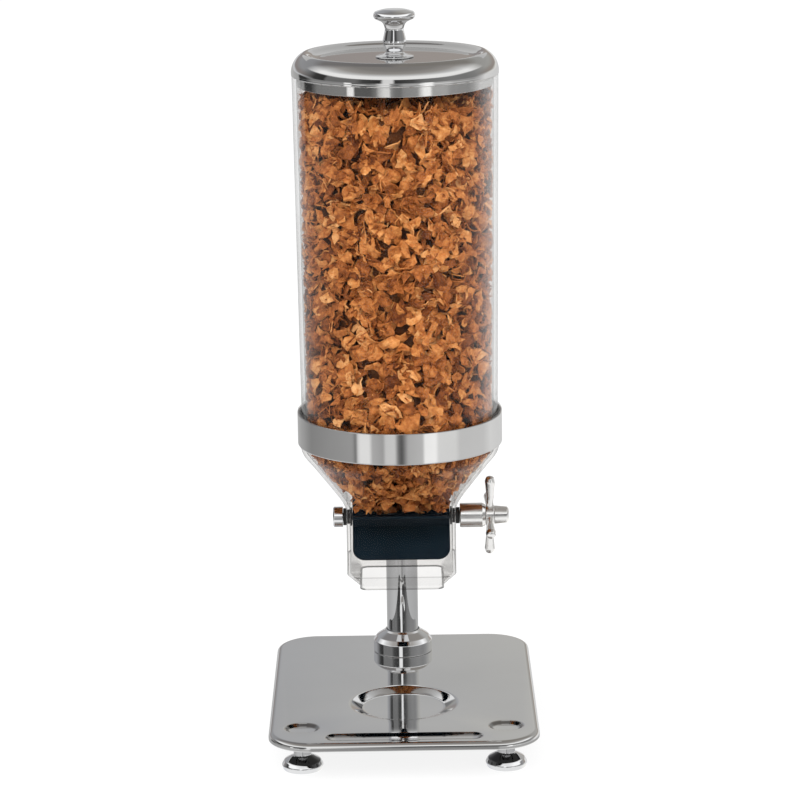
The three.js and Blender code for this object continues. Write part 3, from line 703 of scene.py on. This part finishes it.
def flake_shape(seed):
    """One curled, blistered flake about 1 unit in radius, as top points, and its faces."""
    r = random.Random(seed)
    n = 11
    ph = [r.uniform(0, 6.28) for _ in range(6)]
    am = [0, 0, r.uniform(0.10, 0.34), r.uniform(0.06, 0.24), r.uniform(0.03, 0.14), r.uniform(0.02, 0.1)]
    cx, cy, cxy = r.uniform(0.2, 0.95), r.uniform(-0.45, 0.5), r.uniform(-0.5, 0.5)
    off = Vector((r.uniform(0, 50), r.uniform(0, 50), 0))
    narrow = r.uniform(0.55, 0.95)
    pts = [Vector((0, 0, 0))]
    for ring, f in ((0, 0.40), (1, 0.74), (2, 1.0)):
        for k in range(n):
            a = 2 * math.pi * (k + 0.5 * (ring % 2)) / n
            rad = f * (1 + sum(am[j] * math.cos(j * a + ph[j]) for j in (2, 3, 4, 5)) * f)
            if ring == 2:
                rad *= 1 + r.uniform(-0.2, 0.16)
            pts.append(Vector((rad * math.cos(a), rad * math.sin(a) * narrow, 0)))
    for p in pts:
        p.z = cx * p.x * p.x + cy * p.y * p.y + cxy * p.x * p.y + 0.34 * noise.noise(p * 2.2 + off) + 0.22 * noise.noise(p * 5.0 + off)
    faces = []
    for k in range(n):
        j = (k + 1) % n
        faces.append((0, 1 + k, 1 + j))
    for ring in (0, 1):
        o, q = 1 + ring * n, 1 + (ring + 1) * n
        for k in range(n):
            if ring == 0:
                faces.append((o + k, q + k, o + (k + 1) % n))
                faces.append((o + k, q + (k - 1) % n, q + k))
            else:
                faces.append((o + k, q + k, q + (k + 1) % n))
                faces.append((o + k, q + (k + 1) % n, o + (k + 1) % n))
    return pts, faces, n


SHAPES = [flake_shape(s) for s in range(36)]


class Heap:
    def __init__(self, name, material):
        self.name, self.material = name, material
        self.verts, self.faces, self.tones = [], [], []

    def add(self, pts, shape, tone, thick):
        _, faces, n = shape
        normals = [Vector() for _ in pts]
        for f in faces:
            nn = (pts[f[1]] - pts[f[0]]).cross(pts[f[2]] - pts[f[0]])
            for i in f:
                normals[i] += nn
        o = len(self.verts)
        m = len(pts)
        self.verts += [tuple(p) for p in pts]
        self.verts += [tuple(p - v.normalized() * thick) for p, v in zip(pts, normals)]
        self.faces += [tuple(i + o for i in f) for f in faces]
        self.faces += [tuple(i + o + m for i in reversed(f)) for f in faces]
        for k in range(n):
            a, b = 1 + 2 * n + k, 1 + 2 * n + (k + 1) % n
            self.faces.append((o + a, o + a + m, o + b + m, o + b))
        self.tones += [tone] * (2 * m)

    def build(self, body):
        ob = new_object(self.name, self.verts, self.faces, self.material, None, recalc=False)
        att = ob.data.attributes.new("tone", "FLOAT", "POINT")
        att.data.foreach_set("value", self.tones)
        ob.data.set_sharp_from_angle(angle=math.radians(48))
        place(ob, body)
        return ob


def turn(shape, size, tilt, spin, normal, flip):
    """Flake points, size in mm, its face turned towards normal and then tilted."""
    q = Vector((0, 0, 1)).rotation_difference(normal)
    m = q.to_matrix() @ Matrix.Rotation(spin[1], 3, "Z") @ Matrix.Rotation(tilt, 3, "X") @ Matrix.Rotation(spin[0], 3, "Z")
    s = -1 if flip else 1
    return [m @ Vector((p.x * size, p.y * size * s, p.z * size * s)) for p in shape[0]]


def wall(z, a):
    """Inner wall of the hopper at height z in direction a."""
    if z >= 302.7:
        return 91.2 + (z - 302.7) * 3.2 / 352.7
    rows = [(237.8, 50, 11), (245.4, 53.6, 21), (256.4, 63.4, 43), (269.4, 75.6, 67), (279.6, 85.2, 85.2), (288, 91.2, 91.2), (302.7, 91.2, 91.2)]
    if z <= 237.8:
        return rim_radius(50, 11, a)
    for (z0, h0, c0), (z1, h1, c1) in zip(rows, rows[1:]):
        if z <= z1:
            t = (z - z0) / (z1 - z0)
            return rim_radius(h0 + (h1 - h0) * t, c0 + (c1 - c0) * t, a)
    return 91.2


def heap_top(a, r):
    return 634.0 + 5.5 * math.sin(a * 2 + 0.6) + 3.5 * math.sin(a * 5 + 1.0) + (1 - r / 91.0) * 6.0


def drop_in(heap, a, z, depth, size, tilt_max, seed_shape, tone):
    """One flake against the wall at direction a and height z, depth mm inside it."""
    w = wall(z, a)
    radial = Vector((math.cos(a), math.sin(a), 0))
    # wall normal: lean with the slope of the funnel
    dz = 3.0
    slope = (wall(z + dz, a) - wall(z - dz, a)) / (2 * dz)
    normal = Vector((radial.x, radial.y, -slope)).normalized()
    tilt = rnd.uniform(-tilt_max, tilt_max)
    pts = turn(seed_shape, size, tilt, (rnd.uniform(0, 6.28), rnd.uniform(0, 6.28)), normal, rnd.random() < 0.5)
    centre = radial * (w - depth) + Vector((0, 0, z))
    pts = [p + centre for p in pts]
    for _ in range(6):                       # keep inside the wall
        over = 0.0
        for p in pts:
            aa = math.atan2(p.y, p.x)
            over = max(over, math.hypot(p.x, p.y) - (wall(p.z, aa) - 1.1))
        if over <= 0.01:
            break
        step = normal * (over + 0.05)
        pts = [p - step for p in pts]
    low = min(math.hypot(p.y, p.z - AZ) for p in pts)
    if low < 50.0:                           # keep out of the wheel's circle
        lift = 0
        while low < 50.0 and lift < 60:
            pts = [p + Vector((0, 0, 1.5)) for p in pts]
            low = min(math.hypot(p.y, p.z - AZ) for p in pts)
            lift += 1
        for p in pts:
            aa = math.atan2(p.y, p.x)
            if math.hypot(p.x, p.y) > wall(p.z, aa) - 0.8:
                return False
    if max(p.z for p in pts) > 644.0:
        return False
    heap.add([p + Vector((0, HY, 0)) for p in pts], seed_shape, tone, 0.9)
    return True


def tone_of():
    return min(1.0, max(0.0, rnd.gauss(0.5, 0.24)))


parts = {"cereal_tube_low": (302.0, 420.0), "cereal_tube_mid": (420.0, 532.0), "cereal_tube_high": (532.0, 640.0)}
for name, (z0, z1) in parts.items():
    heap = Heap(name, FLAKE)
    for depth, count, tilt in ((13.0, 300, 1.2), (7.0, 430, 1.1), (3.2, 500, 0.85)):
        golden = math.pi * (3 - math.sqrt(5))
        for i in range(count):
            z = z0 + (z1 - z0) * (i + rnd.random()) / count
            a = (i * golden + rnd.uniform(-0.25, 0.25)) % (2 * math.pi)
            if z > heap_top(a, 88) - 3:
                continue
            drop_in(heap, a, z, depth + rnd.uniform(-1.5, 2.5), rnd.uniform(5.2, 10.2), tilt, SHAPES[rnd.randrange(36)], tone_of())
    heap.build("stand")
    if name == "cereal_tube_high":
        heap = Heap("cereal_top_layer", FLAKE)
        for i in range(420):
            r = 86.0 * math.sqrt((i + 0.5) / 420)
            a = i * 2.39996
            z = heap_top(a, r) - 3.0 + rnd.uniform(-3, 2)
            sh = SHAPES[rnd.randrange(36)]
            pts = turn(sh, rnd.uniform(6, 9.6), rnd.uniform(-0.7, 0.7), (rnd.uniform(0, 6.28), rnd.uniform(0, 6.28)), Vector((0, 0, 1)), rnd.random() < 0.5)
            pts = [p + Vector((r * math.cos(a), r * math.sin(a), z)) for p in pts]
            if max(math.hypot(p.x, p.y) for p in pts) < 92.0:
                heap.add([p + Vector((0, HY, 0)) for p in pts], sh, tone_of(), 0.9)
        heap.build("stand")

heap = Heap("cereal_funnel", FLAKE)
for depth, count, tilt in ((12.0, 300, 1.2), (6.0, 420, 1.0), (2.8, 460, 0.75)):
    for i in range(count):
        z = 222.0 + 80.0 * ((i + rnd.random()) / count) ** 0.75
        a = rnd.uniform(0, 2 * math.pi)
        drop_in(heap, a, z, depth + rnd.uniform(-1, 2), rnd.uniform(5.0, 8.4), tilt, SHAPES[rnd.randrange(36)], tone_of())
for i in range(160):                         # the layer that lies on the wheel
    x, y = rnd.uniform(-44, 44), rnd.uniform(-44, 44)
    z = AZ + math.sqrt(max(0.0, 56.0 ** 2 - y * y)) + rnd.uniform(0, 8)
    sh = SHAPES[rnd.randrange(36)]
    pts = [p + Vector((x, y, z)) for p in turn(sh, rnd.uniform(5, 8), rnd.uniform(-0.8, 0.8), (rnd.uniform(0, 6.28), rnd.uniform(0, 6.28)), Vector((0, 0, 1)), False)]
    if min(math.hypot(p.y, p.z - AZ) for p in pts) > 50 and all(math.hypot(p.x, p.y) < wall(p.z, math.atan2(p.y, p.x)) - 1 for p in pts):
        heap.add([p + Vector((0, HY, 0)) for p in pts], sh, tone_of(), 0.9)
heap.build("stand")

# solid heart of the heap, so that nothing is seen through it; its flakes get painted shade, a quarter of their colour
core_rows = [(0, 268.5)] + [(r, 276.0 + (r - 8) * 0.12) for r in (8, 30, 44)] + [(58, 282), (70, 292), (76, 304), (78, 330), (79, 400), (80, 500), (80.5, 600), (79, 622), (60, 627), (30, 630), (0, 631)]
core_rows = [(0, 274.5), (30, 275.0), (44, 277.0), (58, 283.0), (70, 292.0), (76, 304.0)] + [(77 + 3.5 * (z - 320) / 300, z) for z in range(320, 621, 12)] + [(76, 626), (50, 629), (0, 631)]
cv, cf = lathe_data(core_rows, steps=120)
cv = [tuple(Vector(v) * 1.0 + Vector((v[0], v[1], 0)).normalized() * 1.6 * noise.noise(Vector(v) * 0.12)) if math.hypot(v[0], v[1]) > 1 else v for v in cv]
core = new_object("cereal_heart", *moved((cv, cf), at(0, HY, 0)), FLAKE_PAINTED_SHADE, 60)
att = core.data.attributes.new("tone", "FLOAT", "POINT")
att.data.foreach_set("value", [0.3 + 0.3 * noise.noise(Vector(v) * 0.2) for v in cv])
place(core, "stand")

# portions in the upper pockets of the wheel
heap = Heap("cereal_pockets", FLAKE)
for lo, hi in ((13, 73), (73, 133), (133, 193)):
    done = 0
    tries = 0
    while done < 110 and tries < 3000:
        tries += 1
        r = math.sqrt(rnd.uniform(18 ** 2, 46 ** 2))
        th = math.radians(rnd.uniform(lo + 5, hi - 5))
        x = rnd.uniform(-46, 46)
        c = Vector((x, -r * math.cos(th), r * math.sin(th)))
        sh = SHAPES[rnd.randrange(36)]
        nrm = Vector((rnd.uniform(-0.6, 0.6), -math.cos(th), math.sin(th))).normalized()
        pts = [p + c for p in turn(sh, rnd.uniform(4.6, 7.4), rnd.uniform(-1.2, 1.2), (rnd.uniform(0, 6.28), rnd.uniform(0, 6.28)), nrm, rnd.random() < 0.5)]
        ok = True
        for p in pts:
            rr = math.hypot(p.y, p.z)
            t = math.degrees(math.atan2(p.z, -p.y))
            if t < -90:
                t += 360
            gap = math.degrees(2.4 / max(rr, 1))
            if not (13.4 < rr < (47.2 if abs(p.x) < 46.8 else 43.4) and abs(p.x) < 48.8 and lo + gap < t < hi - gap):
                ok = False
                break
        if ok:
            heap.add([p + Vector((0, HY, AZ)) for p in pts], sh, tone_of(), 0.8)
            done += 1
heap.build("rotor")

# ------------------------------------------------------------------ floor, light and camera
scene.view_settings.view_transform = "Standard"
scene.cycles.transparent_max_bounces = 40
scene.cycles.transmission_bounces = 16

floor_mat = Nodes("pale_floor")
fl = floor_mat.ramp(floor_mat.noise(3.0, 2.0), [(0.3, 0.12), (0.7, 0.132)])
floor_shader = floor_mat.principled(fl, 0.9, Emission_Strength=0.875)
floor_shader.inputs["Emission Color"].default_value = (1.0, 1.0, 1.0, 1.0)
floor_mat.finish(floor_shader.outputs[0])
me = bpy.data.meshes.new("floor")
me.from_pydata([(-30, -30, 0), (30, -30, 0), (30, 30, 0), (-30, 30, 0)], [], [(0, 1, 2, 3)])
me.materials.append(floor_mat.m)
floor = bpy.data.objects.new("floor", me)
scene.collection.objects.link(floor)
floor.visible_glossy = False

world = bpy.data.worlds.new("studio")
scene.world = world
world.use_nodes = True
wt = world.node_tree
wt.nodes.clear()


def wnode(kind, **kw):
    n = wt.nodes.new("ShaderNode" + kind)
    for k, v in kw.items():
        setattr(n, k, v)
    return n


def wlink(a, b):
    wt.links.new(a, b)


def wramp(fac, stops, interpolation="LINEAR"):
    n = wnode("ValToRGB")
    n.color_ramp.interpolation = interpolation
    while len(n.color_ramp.elements) < len(stops):
        n.color_ramp.elements.new(0.5)
    for e, (p, c) in zip(n.color_ramp.elements, stops):
        e.position = p
        e.color = (*c, 1) if hasattr(c, "__len__") else (c, c, c, 1)
    wlink(fac, n.inputs["Fac"])
    return n.outputs["Color"]


tc = wnode("TexCoord")
sep = wnode("SeparateXYZ")
wlink(tc.outputs["Generated"], sep.inputs[0])
neg = wnode("Math", operation="MULTIPLY")
neg.inputs[1].default_value = -1.0
wlink(sep.outputs["Y"], neg.inputs[0])
atan = wnode("Math", operation="ARCTAN2")
wlink(sep.outputs["X"], atan.inputs[0])
wlink(neg.outputs[0], atan.inputs[1])
az = wnode("MapRange")
az.inputs["From Min"].default_value = -math.pi
az.inputs["From Max"].default_value = math.pi
wlink(atan.outputs[0], az.inputs["Value"])
el = wnode("Math", operation="ARCSINE")
wlink(sep.outputs["Z"], el.inputs[0])
elr = wnode("MapRange")
elr.inputs["From Min"].default_value = -math.pi / 2
elr.inputs["From Max"].default_value = math.pi / 2
wlink(el.outputs[0], elr.inputs["Value"])
# studio seen in the polished metal: degrees round from the camera side, left is negative
LID_BARS = [(-180, 0.6), (-134, 0.5), (-131, 0.05), (-116, 0.05), (-111, 0.14), (-104, 0.30), (-62, 0.34), (-59, 0.30), (-57, 1.3), (-50, 1.3), (-48, 0.16), (-29, 0.15),
            (-22, 0.3), (-19, 0.7), (-13, 1.1), (-7, 1.1), (-5, 0.42), (0, 0.28), (6, 0.26), (10, 0.40), (26, 0.46), (30, 1.0), (34, 1.45), (41, 1.45), (44, 0.6), (62, 0.6),
            (68, 0.46), (95, 0.42), (105, 0.6), (118, 1.0), (140, 0.9), (180, 0.6)]
RING_BARS = [(-180, 0.55), (-137, 0.45), (-119, 0.33), (-57, 0.46), (-54, 0.42), (-51, 0.22), (-48, 0.9), (-45, 1.12), (-35, 1.12), (-31, 0.62), (-19, 0.5), (-16, 0.85),
             (-6, 0.88), (-3, 0.36), (-1, 0.2), (2, 0.12), (5, 0.3), (9, 0.62), (25, 0.72), (28, 1.3), (40, 1.35), (44, 1.0), (65, 0.98), (71, 0.8), (108, 0.8), (123, 0.95),
             (153, 0.8), (180, 0.55)]
POST_BARS = [(-180, 0.55), (-120, 0.44), (-60, 0.57), (-30, 0.54), (-10, 0.62), (-4, 0.38), (4, 0.31), (10, 0.50), (60, 0.50), (120, 0.45), (180, 0.5)]
HIGH_BARS = [(-180, 0.3), (-130, 0.12), (-105, 0.06), (-86, 0.04), (-82, 0.2), (-45, 0.2), (-36, 0.08), (-16, 0.04), (-13, 1.0), (-3, 1.0), (0, 0.05), (20, 0.10), (33, 0.22),
             (65, 0.28), (85, 0.26), (105, 0.32), (130, 0.32), (180, 0.3)]


def around(stops):
    return wramp(az.outputs[0], [((d + 180) / 360, c) for d, c in stops])


def heights(stops):
    return wramp(elr.outputs[0], [((d + 90) / 180, c) for d, c in stops])


def wmix(fac, a, b, blend="MIX"):
    n = wnode("Mix", data_type="RGBA", blend_type=blend)
    if isinstance(fac, float):
        n.inputs["Factor"].default_value = fac
    else:
        wlink(fac, n.inputs["Factor"])
    wlink(a, n.inputs["A"])
    wlink(b, n.inputs["B"])
    return n.outputs["Result"]


front_sky = heights([(-90, 0.95), (-21, 0.95), (20, 0.4), (23, 1.2), (33, 1.2), (41, 0.75), (52, (0.43, 0.41, 0.39)), (66, (0.31, 0.295, 0.28)), (90, (0.28, 0.265, 0.255))])
back_sky = heights([(-90, 0.95), (-8, 0.95), (-4, 1.0), (0, 1.0), (3, 0.7), (5.5, (0.365, 0.328, 0.308)), (9, (0.37, 0.335, 0.318)), (15, (0.42, 0.418, 0.412)), (18, 0.435),
                    (22, 0.42), (32, 0.40), (42, (0.275, 0.262, 0.252)), (75, (0.24, 0.226, 0.216)), (90, (0.28, 0.265, 0.255))])
slope = wnode("MapRange")
slope.inputs["From Min"].default_value = -0.05
slope.inputs["From Max"].default_value = 0.05
wlink(sep.outputs["X"], slope.inputs["Value"])
back_sky = wmix(1.0, back_sky, wramp(slope.outputs[0], [(0.0, (0.88, 0.89, 0.925)), (0.5, (1.0, 1.0, 1.0)), (1.0, (1.11, 1.10, 1.06))]), "MULTIPLY")
low = heights([(-90, 0.0), (-23, 0.0), (-20, 1.0), (-16.2, 1.0), (-15.2, 0.0), (90, 0.0)])
mid = heights([(-90, 0.0), (-16.2, 0.0), (-15.2, 1.0), (-10.5, 1.0), (-9.5, 0.0), (90, 0.0)])
lid = heights([(-90, 0.0), (-10.5, 0.0), (-9.5, 1.0), (-0.5, 1.0), (1.5, 0.0), (90, 0.0)])
high = heights([(-90, 0.0), (-0.5, 0.0), (1.5, 1.0), (20, 1.0), (23.5, 0.0), (90, 0.0)])
front = front_sky
for mask, bars in ((low, POST_BARS), (mid, RING_BARS), (lid, LID_BARS), (high, HIGH_BARS)):
    front = wmix(mask, front, around(bars))
back = back_sky
for mask, bars in ((low, POST_BARS), (mid, RING_BARS), (lid, LID_BARS)):
    back = wmix(mask, back, around(bars))
behind = wramp(az.outputs[0], [(0.0, 1.0), (0.14, 1.0), (0.22, 0.0), (0.78, 0.0), (0.86, 1.0), (1.0, 1.0)])
env = wmix(behind, front, back)
soft = wnode("Mix", data_type="RGBA")
soft.inputs["B"].default_value = (0.85, 0.85, 0.85, 1.0)
wlink(env, soft.inputs["A"])
lp = wnode("LightPath")
see = wnode("Math", operation="MAXIMUM")
wlink(lp.outputs["Is Camera Ray"], see.inputs[0])
wlink(lp.outputs["Is Transmission Ray"], see.inputs[1])
wlink(lp.outputs["Is Diffuse Ray"], soft.inputs["Factor"])
bg1 = wnode("Background")
wlink(soft.outputs["Result"], bg1.inputs["Color"])
bg1.inputs["Strength"].default_value = 1.0
bg2 = wnode("Background")
bg2.inputs["Color"].default_value = (1, 1, 1, 1)
bg2.inputs["Strength"].default_value = 1.0
mixw = wnode("MixShader")
wlink(see.outputs[0], mixw.inputs[0])
wlink(bg1.outputs[0], mixw.inputs[1])
wlink(bg2.outputs[0], mixw.inputs[2])
wout = wnode("OutputWorld")
wlink(mixw.outputs[0], wout.inputs["Surface"])


def area(name, loc, target, size, watts, color=(1, 1, 1), glossy=False):
    li = bpy.data.lights.new(name, "AREA")
    li.shape = "RECTANGLE"
    li.size, li.size_y = size
    li.energy = watts
    li.color = color
    ob = bpy.data.objects.new(name, li)
    ob.location = loc
    ob.rotation_euler = (Vector(target) - Vector(loc)).to_track_quat("-Z", "Y").to_euler()
    ob.visible_glossy = glossy
    ob.visible_camera = False
    scene.collection.objects.link(ob)
    return ob


area("key", (-1.5, -2.2, 2.3), (0, 0, 0.35), (1.6, 1.6), 46)
area("fill", (1.9, -1.8, 1.5), (0, 0, 0.35), (1.4, 1.8), 42)
sun = bpy.data.lights.new("overhead", "SUN")
sun.energy = 1.3
sun.angle = math.radians(70)
so = bpy.data.objects.new("overhead", sun)
so.rotation_euler = Vector((0.35, 0.75, -1.0)).to_track_quat("-Z", "Y").to_euler()
so.visible_glossy = False
scene.collection.objects.link(so)

card_mat = Nodes("light_card")
cm = card_mat.add("Emission")
card_mat.link(card_mat.ramp(card_mat.noise(6.0, 2.0), [(0.3, 0.60), (0.7, 0.68)]), cm.inputs["Color"])
card_mat.finish(cm.outputs[0])
me = bpy.data.meshes.new("light_card")
me.from_pydata([(-0.16, 0.083, 0.745), (0.16, 0.083, 0.745), (0.16, 0.33, 0.745), (-0.16, 0.33, 0.745)], [], [(0, 1, 2, 3)])
me.materials.append(card_mat.m)
card = bpy.data.objects.new("light_card", me)
scene.collection.objects.link(card)
card.visible_camera = card.visible_diffuse = card.visible_shadow = card.visible_transmission = False

cam = bpy.data.cameras.new("camera")
cam.lens = 149.3
cam.sensor_width = 36.0
cam.clip_start = 0.05
cam.clip_end = 100.0
co = bpy.data.objects.new("camera", cam)
co.matrix_world = Matrix.Translation((0.0005, -3.1545, 1.0777)) @ Matrix.Rotation(math.radians(90 - 13.27), 4, "X") @ Matrix.Rotation(math.radians(-0.8), 4, "Z")
scene.collection.objects.link(co)
scene.camera = co
